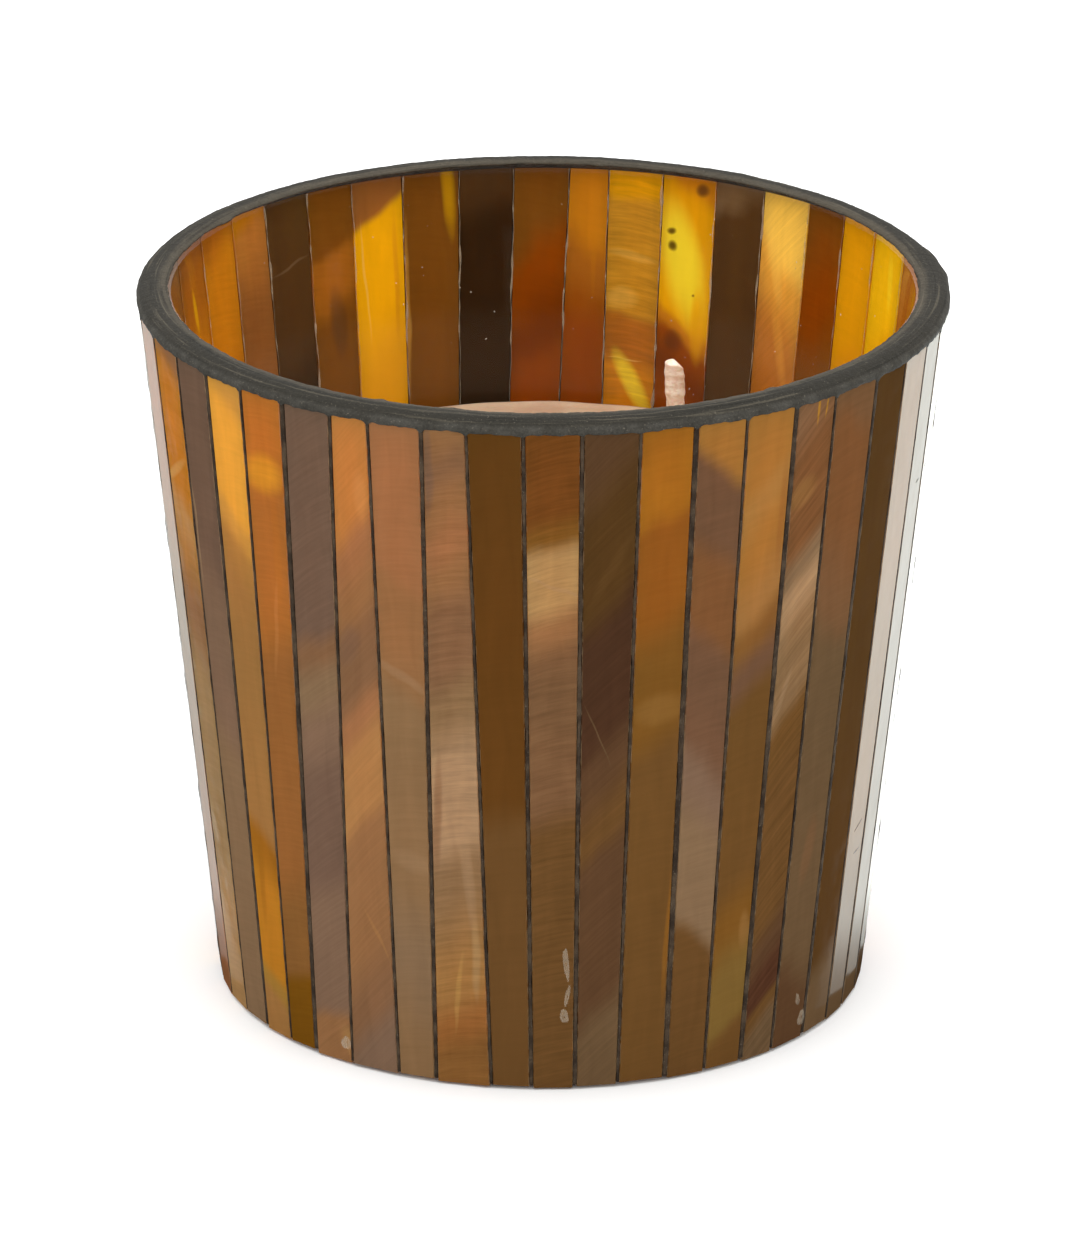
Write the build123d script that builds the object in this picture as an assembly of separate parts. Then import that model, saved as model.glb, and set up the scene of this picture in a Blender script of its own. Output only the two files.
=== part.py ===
from build123d import *
import math
import os

# Three-wick candle in a tapered glass tumbler clad with upright strips of stained glass.
# Millimetres, +Z up. The origin is the centre of the foot, on the surface the jar stands on.
# -Y is the front. Strips, joints and widths are counted from the front joint towards +X.

# Overall shape: the face of the mosaic is a cone, wider at the rim.
HEIGHT = 90.8
RIM_FACE_RADIUS = 50.0
FOOT_FACE_RADIUS = 40.3
FLARE = (RIM_FACE_RADIUS - FOOT_FACE_RADIUS) / HEIGHT

# Mosaic: flat strips, cut to a taper and glued on. Clear adhesive squeezed out from under them
# stands in the bottom of each joint, with grout over it.
STRIP_THICKNESS = 1.6
STRIP_ARRIS = 0.12
GLUE_LINE = 0.05
BEAD_DEPTH = 0.55
STRIP_TOP = HEIGHT - 1.7
STRIP_FOOT = 0.3
FOOT_STEP = 0.07
GROUT_FOOT = 0.7
FRONT_JOINT = -92.7
FRONT_JOINT_SKEW = 1.2
JOINT_WIDTH = 0.22
GROUT_RECESS = 0.12

# Cut widths of the strips at the rim and at the foot, one pair for each strip.
CUT_WIDTHS = [
    (7.1, 5.3), (7.1, 5.3), (7.0, 6.1), (6.8, 5.4), (7.2, 5.4),
    (6.4, 5.1), (7.8, 6.0), (6.8, 5.6), (6.6, 4.9), (6.1, 5.6),
    (7.8, 6.2), (7.8, 6.3), (7.9, 6.0), (7.0, 5.4), (8.0, 6.7),
    (6.9, 6.0), (6.7, 5.5), (7.5, 6.1), (7.3, 5.9), (7.6, 6.3),
    (7.4, 6.0), (5.2, 6.7), (7.4, 5.1), (7.3, 5.6), (7.9, 5.3),
    (7.4, 6.0), (7.0, 5.3), (7.4, 4.8), (6.5, 5.6), (7.4, 6.0),
    (7.2, 6.0), (6.5, 5.6), (6.1, 4.9), (6.1, 4.6), (6.1, 4.9),
    (7.6, 5.6), (7.8, 5.5), (7.2, 5.4), (6.8, 5.1), (7.0, 4.6),
    (7.1, 5.8), (5.1, 6.7), (6.9, 4.9), (5.5, 7.0), (6.9, 4.9),
]
STRIP_COUNT = len(CUT_WIDTHS)

# Joints wider than the usual one, by number; joint 0 is the front joint.
WIDE_JOINTS = {0: 0.32, 1: 0.34, 3: 0.5, 5: 0.52, 7: 0.45, 38: 0.4, 40: 0.5, 43: 0.34}

# Tumbler: a glass wall inside the adhesive, on a thick bottom with a shallow push-up.
BORE_RADIUS_AT_RIM = 45.7
LIP_HEIGHT = HEIGHT - 0.45
LIP_ROUNDING = 0.6
BORE_FLOOR = 5.0
BORE_CORNER = 4.0
HEEL_ROUNDING = 1.5
PUSH_UP_HEIGHT = 1.0
PUSH_UP_RADIUS = 29.0
FOOT_RING_RADIUS = 33.0

# Grout band that covers the lip and the top ends of the strips.
BAND_INNER_RADIUS = 46.1
BAND_CREST_RADIUS = 48.3
BAND_OUTER_RADIUS = 50.1

# Candle: wax poured into the bore, with three wicks in metal tabs stuck to the floor.
WAX_LEVEL = 59.2
WAX_CREEP_HEIGHT = 0.5
WAX_CREEP_WIDTH = 1.6
WICK_RADIUS = 1.3
WICK_TIP_ROUNDING = 0.7
WICK_TOP = WAX_LEVEL + 14.2
WICK_CIRCLE_RADIUS = 26.0
WICK_ANGLES = {"back_right": 49.8, "left": 169.8, "front": 289.8}
STICKER_RADIUS = 6.0
STICKER_THICKNESS = 0.8
TAB_RADIUS = 6.25
TAB_THICKNESS = 0.3
TAB_NECK_RADIUS = 1.65
TAB_NECK_HEIGHT = 5.0


def face_radius(z):
    """Distance from the axis to the middle of a strip's face."""
    return FOOT_FACE_RADIUS + FLARE * z


def back_radius(z):
    """Distance from the axis to the middle of a strip's back."""
    return face_radius(z) - STRIP_THICKNESS * math.hypot(1, FLARE)


def glass_radius(z):
    """Outer radius of the tumbler."""
    return back_radius(z) - GLUE_LINE


def bore_radius(z):
    """Inner radius of the tumbler."""
    return BORE_RADIUS_AT_RIM - FLARE * (HEIGHT - z)


def turned(points):
    """Solid of revolution about Z from an outline of (radius, height) points."""
    outline = Polyline(*[(radius, 0, z) for radius, z in points], close=True)
    return revolve(make_face(outline), Axis.Z, 360)


def cone_ring(inner, outer, bottom, top):
    """Ring between two cones, each given as a function of height."""
    return turned([(inner(bottom), bottom), (outer(bottom), bottom), (outer(top), top), (inner(top), top)])


def bore_filling(top):
    """What would fill the tumbler up to a height, with the rounded corner at its floor."""
    floor_edge = bore_radius(BORE_FLOOR)
    filling = turned([(0, BORE_FLOOR), (floor_edge, BORE_FLOOR), (bore_radius(top), top), (0, top)])
    corner = filling.edges().filter_by(GeomType.CIRCLE).sort_by(Axis.Z)[0]
    return fillet(corner, BORE_CORNER)


def glass_jar():
    """The clear tumbler: tapered wall, thick bottom, rounded heel and lip."""
    body = turned([
        (0, PUSH_UP_HEIGHT),
        (PUSH_UP_RADIUS, PUSH_UP_HEIGHT),
        (FOOT_RING_RADIUS, 0),
        (glass_radius(0), 0),
        (glass_radius(LIP_HEIGHT), LIP_HEIGHT),
        (0, LIP_HEIGHT),
    ])
    circles = body.edges().filter_by(GeomType.CIRCLE)
    heel = circles.group_by(Axis.Z)[0].sort_by(SortBy.RADIUS)[-1]
    body = fillet(heel, HEEL_ROUNDING)
    body = body - bore_filling(HEIGHT + 1)
    lip = body.edges().filter_by(GeomType.CIRCLE).group_by(Axis.Z)[-1]
    return fillet(lip, LIP_ROUNDING)


def joint_angles():
    """Angles of the joints at the rim and at the foot, in degrees, with the ring closed exactly."""
    rim_scale = 360 / sum(rim for rim, foot in CUT_WIDTHS)
    foot_scale = 360 / sum(foot for rim, foot in CUT_WIDTHS)
    rim_angle = FRONT_JOINT
    foot_angle = FRONT_JOINT + FRONT_JOINT_SKEW
    angles = [(rim_angle, foot_angle)]
    for rim, foot in CUT_WIDTHS:
        rim_angle += rim * rim_scale
        foot_angle += foot * foot_scale
        angles.append((rim_angle, foot_angle))
    return angles


def joint_width(number):
    """Width of a joint at the back of the strips."""
    return WIDE_JOINTS.get(number % STRIP_COUNT, JOINT_WIDTH)


def strip_section(z, middle, left, right, deeper):
    """Level section of a strip: six corners, from its back left round its arrises to its back right.

    The section lies square to the strip's middle angle. Its sides are where the joints at the
    angles left and right cross the back, less half of each joint's width. deeper moves the back
    towards the axis.
    """
    outward = Vector(math.cos(math.radians(middle)), math.sin(math.radians(middle)), 0)
    along = Vector(-outward.Y, outward.X, 0)
    back = back_radius(z)
    face = face_radius(z)
    start = back * math.tan(math.radians(left[0] - middle)) + left[1] / 2
    end = back * math.tan(math.radians(right[0] - middle)) - right[1] / 2
    corners = [
        (back - deeper, start),
        (face - STRIP_ARRIS, start),
        (face, start + STRIP_ARRIS),
        (face, end - STRIP_ARRIS),
        (face - STRIP_ARRIS, end),
        (back - deeper, end),
    ]
    return [outward * depth + along * reach + Vector(0, 0, z) for depth, reach in corners]


def prism(lower, upper):
    """Solid with flat faces between two sections that have the same number of corners."""
    count = len(lower)
    faces = [Face(Wire.make_polygon(lower)), Face(Wire.make_polygon(upper))]
    for corner in range(count):
        after = (corner + 1) % count
        side = [lower[corner], lower[after], upper[after], upper[corner]]
        faces.append(Face(Wire.make_polygon(side)))
    return Solid(Shell(faces))


def glass_strips(deeper=0):
    """The flat tapered strips round the tumbler, each cut to its own widths and foot height."""
    angles = joint_angles()
    strips = []
    for number in range(STRIP_COUNT):
        rim_left, foot_left = angles[number]
        rim_right, foot_right = angles[number + 1]
        middle = (rim_left + rim_right + foot_left + foot_right) / 4
        left_gap = joint_width(number)
        right_gap = joint_width(number + 1)
        foot = STRIP_FOOT + FOOT_STEP * (number * 2 % 5)
        lower = strip_section(foot, middle, (foot_left, left_gap), (foot_right, right_gap), deeper)
        upper = strip_section(STRIP_TOP, middle, (rim_left, left_gap), (rim_right, right_gap), deeper)
        strips.append(prism(lower, upper))
    return strips


def bead_radius(z):
    """Distance from the axis to the top of the adhesive beads."""
    return glass_radius(z) + BEAD_DEPTH


def adhesive_beads():
    """A bead of clear adhesive in the bottom of every joint, from the tumbler up between the strips."""
    ring = cone_ring(glass_radius, bead_radius, GROUT_FOOT, STRIP_TOP)
    return ring - glass_strips(deeper=2 * BEAD_DEPTH)


def joint_grout(strips):
    """The grout in every joint, from the adhesive to just below the face."""
    ring = cone_ring(bead_radius, lambda z: face_radius(z) - GROUT_RECESS, GROUT_FOOT, STRIP_TOP)
    return ring - strips


def rim_grout(jar):
    """The grout band over the lip, sloping out to the face of the mosaic."""
    band = turned([
        (BAND_INNER_RADIUS, LIP_HEIGHT),
        (BAND_INNER_RADIUS, HEIGHT - 0.25),
        (BAND_INNER_RADIUS + 0.3, HEIGHT),
        (BAND_CREST_RADIUS, HEIGHT),
        (BAND_OUTER_RADIUS - 0.6, HEIGHT - 0.45),
        (BAND_OUTER_RADIUS, HEIGHT - 1.1),
        (BAND_OUTER_RADIUS, STRIP_TOP),
        (BAND_CREST_RADIUS - 0.8, STRIP_TOP),
    ])
    return band - jar


def wick_places():
    """Name and centre of each wick."""
    places = {}
    for name, angle in WICK_ANGLES.items():
        x = WICK_CIRCLE_RADIUS * math.cos(math.radians(angle))
        y = WICK_CIRCLE_RADIUS * math.sin(math.radians(angle))
        places[name] = Vector(x, y, 0)
    return places


def wick():
    """A waxed wick on the axis, standing on its sticker."""
    foot = BORE_FLOOR + STICKER_THICKNESS
    core = turned([(0, foot), (WICK_RADIUS, foot), (WICK_RADIUS, WICK_TOP), (0, WICK_TOP)])
    tip = core.edges().filter_by(GeomType.CIRCLE).sort_by(Axis.Z)[-1]
    return fillet(tip, WICK_TIP_ROUNDING)


def wick_tab():
    """The metal tab on the axis: a disc with a crimped neck round the wick."""
    foot = BORE_FLOOR + STICKER_THICKNESS
    return turned([
        (WICK_RADIUS, foot),
        (TAB_RADIUS, foot),
        (TAB_RADIUS, foot + TAB_THICKNESS),
        (TAB_NECK_RADIUS, foot + TAB_THICKNESS),
        (TAB_NECK_RADIUS, foot + TAB_NECK_HEIGHT),
        (WICK_RADIUS, foot + TAB_NECK_HEIGHT),
    ])


def wick_sticker():
    """The foam disc on the axis that sticks a tab to the floor."""
    top = BORE_FLOOR + STICKER_THICKNESS
    return turned([(0, BORE_FLOOR), (STICKER_RADIUS, BORE_FLOOR), (STICKER_RADIUS, top), (0, top)])


def candle_wax(set_in_wax):
    """The poured wax: level on top, creeping up the wall, cast round the wicks and tabs."""
    rim = WAX_LEVEL + WAX_CREEP_HEIGHT
    edge = bore_radius(rim)
    dish = turned([(0, WAX_LEVEL), (edge - WAX_CREEP_WIDTH, WAX_LEVEL), (edge, rim), (0, rim)])
    wax = bore_filling(rim) - dish
    for piece in set_in_wax:
        wax = wax - piece
    return wax


def pieces():
    """Every piece of the candle by its name."""
    jar = glass_jar()
    strips = glass_strips()
    made = {"glass_jar": jar}
    for number, strip in enumerate(strips, start=1):
        made[f"glass_strip_{number:02d}"] = strip
    made["adhesive_beads"] = adhesive_beads()
    made["joint_grout"] = joint_grout(strips)
    made["rim_grout"] = rim_grout(jar)
    stickers = []
    for name, place in wick_places().items():
        made[f"wick_{name}"] = Pos(place) * wick()
        made[f"wick_tab_{name}"] = Pos(place) * wick_tab()
        stickers.append(Pos(place) * wick_sticker())
    set_in_wax = [piece for name, piece in made.items() if name.startswith("wick")]
    made["candle_wax"] = candle_wax(set_in_wax + stickers)
    made["wick_stickers"] = Compound(children=stickers)
    return made


os.makedirs("parts", exist_ok=True)
for node, shape in pieces().items():
    export_step(shape, f"parts/{node}.step")
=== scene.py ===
import math

import bmesh
import bpy
import numpy as np
from mathutils import Matrix, Vector


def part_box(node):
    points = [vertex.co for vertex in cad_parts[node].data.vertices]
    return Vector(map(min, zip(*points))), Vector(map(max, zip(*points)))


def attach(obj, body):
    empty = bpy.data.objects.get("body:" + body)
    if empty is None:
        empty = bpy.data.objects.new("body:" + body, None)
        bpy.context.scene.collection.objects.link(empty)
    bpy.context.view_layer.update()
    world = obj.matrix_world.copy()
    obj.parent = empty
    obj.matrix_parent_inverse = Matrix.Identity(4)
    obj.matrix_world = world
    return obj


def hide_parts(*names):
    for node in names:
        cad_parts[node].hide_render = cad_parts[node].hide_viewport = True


# Three-wick candle in a tapered glass tumbler clad with upright strips of stained glass.
# Lengths are millimetres and MM turns them into the scene's metres. The front is -Y.
# "Across" a strip runs to the right for someone who looks at its face.

MM = 0.001

# Driving sizes, the same as the solid model's.
HEIGHT = 90.8
FOOT_FACE_RADIUS = 40.3
RIM_FACE_RADIUS = 50.0
FLARE = (RIM_FACE_RADIUS - FOOT_FACE_RADIUS) / HEIGHT
STRIP_COUNT = 45
STRIP_THICKNESS = 1.6
GLUE_LINE = 0.05
MEAN_STRIP_FOOT = 0.4
STRIP_TOP = HEIGHT - 1.7
GROUT_FOOT = 0.7
BORE_RADIUS_AT_RIM = 45.7
LIP_HEIGHT = HEIGHT - 0.45
LIP_ROUNDING = 0.6
BORE_FLOOR = 5.0
BORE_CORNER = 4.0
CORNER_INSET = BORE_CORNER * 0.95
HEEL_ROUNDING = 1.5
PUSH_UP_HEIGHT = 1.0
PUSH_UP_RADIUS = 29.0
FOOT_RING_RADIUS = 33.0
BAND_INNER_RADIUS = 46.1
BAND_OUTER_RADIUS = 50.1
# Radius inside which the top of the rim grout turns paler.
PALE_INNER_RADIUS = 47.4
WAX_LEVEL = 59.2
WAX_CREEP_HEIGHT = 0.5
WAX_CREEP_WIDTH = 1.6
WICK_RADIUS = 1.3

# Colours of the sheet glass as it looks from outside, in daylight.
GLASS_FACE = {
    "honey": "dc9c3b",
    "gold": "c68f40",
    "dull gold": "a8783c",
    "caramel": "a0713c",
    "ochre": "9d6218",
    "bright gold": "b6781f",
    "olive gold": "a07730",
    "orange": "be8226",
    "rust": "b26c28",
    "sienna": "a7672b",
    "toffee": "955d2c",
    "olive brown": "86582a",
    "dark olive": "774a0c",
    "peach": "b87a3c",
    "flame": "c88a4c",
    "tan": "a06b44",
    "brown tan": "966841",
    "dusty tan": "8d6a47",
    "pale tan": "a98663",
    "mauve tan": "865e40",
    "mauve": "735747",
    "light mauve": "81634e",
    "pale mauve": "886a4d",
    "dark amber": "633b14",
    "warm brown": "6b4723",
    "amber brown": "764217",
    "swirl": "ac8656",
    "cocoa": "7b5537",
    "chestnut": "734f38",
    "copper brown": "80522f",
    "drab": "6c5136",
    "bark": "573819",
    "umber": "5d3e27",
    "bistre": "4a2d1d",
    "russet": "9c601a",
    "saddle": "7e511d",
    "walnut": "6e4922",
    "maroon": "52301f",
    "brass": "a57031",
    "khaki": "80602c",
    "old gold": "c49a50",
    "yellow": "d89a26",
    "pale gold": "b1854a",
    "khaki tan": "9d7d52",
    "warm tan": "ab7946",
    "copper amber": "a1651a",
    "cinnamon": "91551a",
}

# Colours of the sheet glass with the light coming through it.
GLASS_LIT = {
    "sunlit yellow": "f8d42b",
    "yellow amber": "dc9806",
    "lemon": "dda40a",
    "amber": "d08b06",
    "orange amber": "bd700e",
    "bronze": "b87a1c",
    "straw": "e1ac4a",
    "light amber": "cf8c33",
    "clear russet": "b06826",
    "burnt orange": "a45a12",
    "red amber": "8d3a02",
    "deep red": "742c02",
    "copper": "8c4f20",
    "clear brown": "7a410c",
    "pale brown": "7c5535",
    "dark brown": "522f14",
    "black brown": "2f1808",
}

# What each strip looks like. "face" and "lit" give the glass colour at heights from the rim down,
# seen from outside and with light through it, or from one height to the next where it stays the
# same; a missing one is worked out from the other.
# lean: rise of the colour bands per mm across. wander: how far, in mm, they wander up and down.
# brushed: strength of the fine streaks, and grain their rise per mm across. gloss: how much the
# polished face mirrors.
# Patches on a side: (colour, height, across, half height, half width, lean of its axis, strength).
STRIPS = {
    1: {
        "face": "88-79 amber brown, 75.5 saddle, 72.5-67 swirl, 63 brown tan, 58.5-40 cocoa, 35-4 warm brown",
        "lean": 0.3, "wander": 3, "brushed": 0.45, "grain": 0.25,
        "face patches": [("pale tan", 68.6, 0, 0.35, 4, -2.3, 0.45), ("swirl", 70.5, 1, 2.2, 2.2, 1.5, 0.4),
                         ("rust", 5, 2.8, 4.5, 0.4, 0, 0.5)],
    },
    2: {
        "face": "88 umber, 78-68 bark, 62-50 bistre, 44 umber, 36 warm brown, 31-14 umber, 8-4 drab",
        "lean": 1.2, "wander": 5, "brushed": 0.3, "grain": 1,
        "face patches": [("warm brown", 70.5, 0, 6, 0.8, 0.5, 0.35), ("drab", 48.7, -0.9, 4.5, 0.14, -0.42, 0.6)],
    },
    3: {
        "face": "88 russet, 84-78.5 copper amber, 75.5-66 cinnamon, 59-50 saddle, 44-4 walnut",
        "lean": 0.6, "wander": 4, "brushed": 0.12,
        "face patches": [("bright gold", 80, -0.6, 2.2, 2.2, 0.6, 0.25), ("dull gold", 51.5, 0.2, 2.4, 3.4, 0.4, 0.3),
                         ("russet", 20, 2.6, 9, 0.4, 0, 0.5)],
    },
    4: {
        "face": ("89-84.5 brass, 81-74 chestnut, 68-62 copper brown, 58-46 chestnut, 40 light mauve, "
                 "32-21.5 pale mauve, 18.5-4 warm brown"),
        "lean": -0.9, "wander": 4, "brushed": 0.2,
    },
    5: {
        "face": ("88-82 brass, 78 dull gold, 72 brass, 64 caramel, 59.5 olive brown, 55 chestnut, 50-28 walnut, "
                 "20 saddle, 12-7 khaki, 4 walnut"),
        "lean": 0.8, "wander": 4, "brushed": 0.12,
        "face patches": [("toffee", 75, 2.3, 8, 0.6, 0, 0.5), ("caramel", 19, 1.8, 3, 0.9, 0, 0.5)],
    },
    6: {
        "face": ("89 mauve tan, 82-71.5 copper brown, 67.5 pale mauve, 64 pale tan, 58-50 dusty tan, 46 walnut, "
                 "38-21 warm brown, 16 umber, 12-9 maroon, 7.4 warm brown, 4 drab"),
        "lean": 1.1, "wander": 3, "brushed": 0.5, "grain": 1,
        "face patches": [("orange", 88, 0.3, 2.4, 0.22, 0, 0.9), ("orange", 88, 1.7, 1.6, 0.18, 0.1, 0.8),
                         ("pale tan", 50, -1.4, 4, 0.5, 0.35, 0.4), ("caramel", 77, -1.2, 2.6, 2.4, 0.6, 0.5)],
    },
    7: {
        "face": "88 cocoa, 82-72 copper brown, 60 cocoa, 54-14 drab, 7 umber",
        "lean": -0.6, "brushed": 0.15,
        "face patches": [("cocoa", 27, 0, 5, 1.2, 0.1, 0.6)],
    },
    8: {"face": "88-12 bark, 6 drab", "lean": 0.3, "brushed": 0.05, "gloss": 0.04},
    9: {"face": "88-30 dusty tan, 6 drab", "lean": 0.3, "brushed": 0.05, "gloss": 0.42},
    10: {"face": "88-30 drab, 6 drab", "lean": 0.3, "brushed": 0.05, "gloss": 0.25},
    11: {
        "face": "88-6 drab",
        "lit": "88 yellow amber, 70 amber, 60 orange amber",
        "lean": 0.5, "brushed": 0.1, "gloss": 0.25,
    },
    12: {"lit": "88 red amber, 60 deep red", "lean": 0.5, "brushed": 0.1},
    13: {"lit": "89 pale brown, 80 orange amber, 60 burnt orange", "lean": -0.5, "brushed": 0.15},
    14: {"lit": "89 clear russet, 78 burnt orange, 62 copper", "lean": -0.4, "brushed": 0.15},
    15: {
        "lit": "89-78 lemon, 72 amber, 64 orange amber",
        "lean": -0.6, "brushed": 0.1,
        "lit patches": [("sunlit yellow", 84, -0.8, 4, 0.8, 0.1, 0.3)],
    },
    16: {"lit": "89-76 amber, 62 orange amber", "lean": -0.6, "brushed": 0.1},
    17: {"lit": "89 clear brown, 78 red amber, 64 clear brown", "lean": -0.6, "brushed": 0.15},
    18: {
        "lit": "89-83 straw, 77 light amber, 69 clear russet, 60 burnt orange",
        "lean": 0.9, "brushed": 0.25, "grain": -1.2,
        "lit patches": [("straw", 80, 1, 6, 1, 0.25, 0.5), ("light amber", 70, -0.6, 6, 0.9, 0.2, 0.5)],
    },
    19: {"lit": "89 pale brown, 85-60 dark brown", "lean": -0.4, "brushed": 0.1},
    20: {
        "lit": ("89 orange amber, 86 amber, 71 yellow amber, 69 orange amber, 67 red amber, 63.5 deep red, "
                "60 red amber"),
        "lean": 0.6, "wander": 4, "brushed": 0.05,
        "lit patches": [("sunlit yellow", 78, 0.3, 8.5, 3.2, 0.2, 1), ("yellow amber", 70, -2, 5, 1.2, 0, 0.8),
                        ("black brown", 81.9, 1.9, 0.5, 0.75, 0, 0.9), ("black brown", 80.1, 1.8, 0.7, 0.7, 0, 0.9),
                        ("dark brown", 87.6, -2.1, 1, 1, 0, 0.9), ("dark brown", 74, -1.3, 0.2, 0.25, 0, 0.8),
                        ("black brown", 67.6, 1, 1.6, 1.4, 0, 0.5)],
    },
    21: {
        "lit": "89-86.5 amber, 84.5-78 bronze, 71 bronze, 69.7-65.5 burnt orange, 63-58 orange amber",
        "lean": 0.1, "wander": 2, "brushed": 0.5, "grain": 0.1,
        "lit patches": [("straw", 78.3, 0, 0.7, 3.4, 0.6, 0.4), ("straw", 72.6, 1.2, 1.6, 2.2, -1, 0.45),
                        ("straw", 64.6, 0.4, 0.14, 2.2, 0, 0.8), ("sunlit yellow", 61.5, -0.6, 4.5, 1.5, 0.5, 0.9)],
    },
    22: {
        "lit": "89-83 orange amber, 77 burnt orange, 68-60 red amber",
        "lean": 0.8, "brushed": 0.1,
        "lit patches": [("orange amber", 80, -1.6, 8, 0.5, 0.03, 0.4)],
    },
    23: {"lit": "89-82 clear brown, 75 red amber, 66 deep red, 61 red amber", "lean": -0.8, "brushed": 0.15},
    24: {"lit": "89 dark brown, 80-60 black brown", "lean": -0.3, "brushed": 0.05},
    25: {
        "lit": "89-76 clear brown, 60 clear brown",
        "lean": 0.5, "brushed": 0.15,
        "lit patches": [("amber", 88.5, -3.1, 8.5, 0.9, 0.04, 0.95), ("light amber", 72, 3, 12, 0.45, 0, 0.7)],
    },
    26: {
        "lit": "89-85.2 copper, 83.7-74 yellow amber, 62 amber",
        "lean": -0.65, "wander": 2, "brushed": 0.05,
        "lit patches": [("straw", 76, 1.7, 8, 0.2, 0.03, 0.6), ("orange amber", 76, -2.6, 9, 0.5, 0, 0.5)],
    },
    27: {
        "lit": "89-81 clear brown, 79-75.5 burnt orange, 72-60 clear brown",
        "lean": -0.4, "brushed": 0.2,
        "lit patches": [("dark brown", 71.5, -0.6, 5, 1.5, 0.05, 0.6)],
    },
    28: {
        "lit": "89-72 dark brown, 60 black brown",
        "lean": -0.4, "brushed": 0.1,
        "lit patches": [("pale brown", 80.5, 0, 0.25, 3.2, -1.5, 0.6)],
    },
    29: {"lit": "89 orange amber, 86 clear russet, 75-62 copper", "lean": -0.4, "brushed": 0.2},
    30: {"lit": "89 burnt orange, 84-74 orange amber, 64 burnt orange", "lean": -0.4, "brushed": 0.2},
    31: {
        "lit": "89 copper, 82 burnt orange, 72 orange amber, 60 burnt orange",
        "lean": -0.4, "brushed": 0.15,
        "lit patches": [("lemon", 80, 0, 3, 0.5, 0.1, 0.8)],
    },
    32: {"lit": "89 pale brown, 80-60 copper", "lean": -0.4, "brushed": 0.15},
    33: {"lit": "89 amber, 60 orange amber", "lean": 0.4, "brushed": 0.1},
    34: {"lit": "89 light amber, 60 amber", "lean": 0.4, "brushed": 0.1},
    35: {"face": "88 pale mauve, 40 mauve, 5 light mauve", "lean": 0.4, "brushed": 0.15},
    36: {"face": "88 tan, 50 dusty tan, 5 tan", "lean": 0.4, "brushed": 0.1},
    37: {
        "face": ("89 brown tan, 85-71 bright gold, 67 pale gold, 62 dull gold, 54 brown tan, 44-22 khaki tan, "
                 "14-4 swirl"),
        "lean": -0.3, "wander": 4, "brushed": 0.15,
        "face patches": [("old gold", 72.5, -0.6, 0.9, 4, 3, 0.8)],
    },
    38: {
        "face": "88-66 mauve, 56-44 light mauve, 34-4 pale mauve",
        "lean": -0.3, "brushed": 0.15,
        "face patches": [("pale tan", 66, -2.2, 8, 0.25, 0, 0.6)],
    },
    39: {
        "face": ("89 gold, 85-73.5 honey, 70.5 gold, 67 dull gold, 61-30 caramel, 26 ochre, 19-9 bright gold, "
                 "6.5 olive gold, 4 caramel"),
        "lean": -0.7, "wander": 3, "brushed": 0.1,
        "face patches": [("honey", 82, 1, 4, 1, -0.1, 0.6), ("ochre", 22, -1.4, 8, 0.6, 0.05, 0.6)],
    },
    40: {
        "face": "88-80 rust, 73-58 sienna, 52-26 toffee, 18-11.5 olive brown, 9-4 dark olive",
        "lean": 0.3, "wander": 4, "brushed": 0.2,
        "face patches": [("yellow", 78.6, 0.9, 3, 3.6, 0.4, 0.75), ("rust", 69, 1.9, 9, 0.8, 0.03, 0.6),
                         ("flame", 58, 0.6, 7, 0.4, 0.12, 0.25)],
    },
    41: {
        "face": ("88-60 mauve, 56 mauve tan, 52 pale mauve, 46 light mauve, 37-27 mauve, 22-8.5 light mauve, "
                 "6-4 brown tan"),
        "lean": 0.4, "wander": 4, "brushed": 0.25, "grain": 0.8,
        "face patches": [("pale gold", 3, 1.4, 2.6, 1.5, -0.3, 0.5)],
    },
    42: {
        "face": ("89-76 peach, 71 tan, 64 brown tan, 59-53.5 mauve tan, 49 tan, 44-36.5 warm tan, 33-20 brown tan, "
                 "10 mauve tan, 4 light mauve"),
        "lean": 1.2, "wander": 3, "brushed": 0.2, "grain": 1.2,
        "face patches": [("flame", 79, 1.9, 3.5, 1.3, 0, 0.6), ("mauve", 58.5, -1, 3.2, 1.8, 0.3, 0.4),
                         ("warm tan", 19.5, 0.6, 3.5, 0.3, -0.5, 0.5)],
    },
    43: {
        "face": "89-70 tan, 66-57 brown tan, 51-28 dusty tan, 17 pale mauve, 4 dusty tan",
        "lean": -0.6, "wander": 5, "brushed": 0.15,
        "face patches": [("pale tan", 55.6, 0, 0.8, 4, -2.6, 0.35), ("pale tan", 30.5, 0.5, 1.6, 3.2, -1, 0.3)],
    },
    44: {
        "face": ("89 brown tan, 84 mauve tan, 79 brown tan, 74 tan, 70 brown tan, 64-58 mauve tan, 52 dusty tan, "
                 "44-35 pale tan, 29 dusty tan, 14 caramel, 8 toffee, 4 olive brown"),
        "lean": 0.6, "wander": 4, "brushed": 0.42, "grain": 0.2,
        "face patches": [("mauve", 84, -2.2, 7, 0.7, 0, 0.6), ("pale tan", 33, 0.9, 13, 0.9, -0.09, 0.5),
                         ("swirl", 18, 2.1, 6, 0.6, 0, 0.8), ("mauve tan", 37, -2.3, 9, 0.7, 0.05, 0.7),
                         ("old gold", 13, -0.2, 6, 0.4, 0.12, 0.35)],
    },
    45: {"face": "89-40 dark amber, 33-4 warm brown", "lean": 0.3, "brushed": 0.08},
}

# Share of the light that a strip sends on through itself.
THROUGH = 0.6
# Height bend of the colours, in mm, where a strip doesn't give its own.
USUAL_WANDER = 7.0
PATCH_WANDER = 1.5

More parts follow.
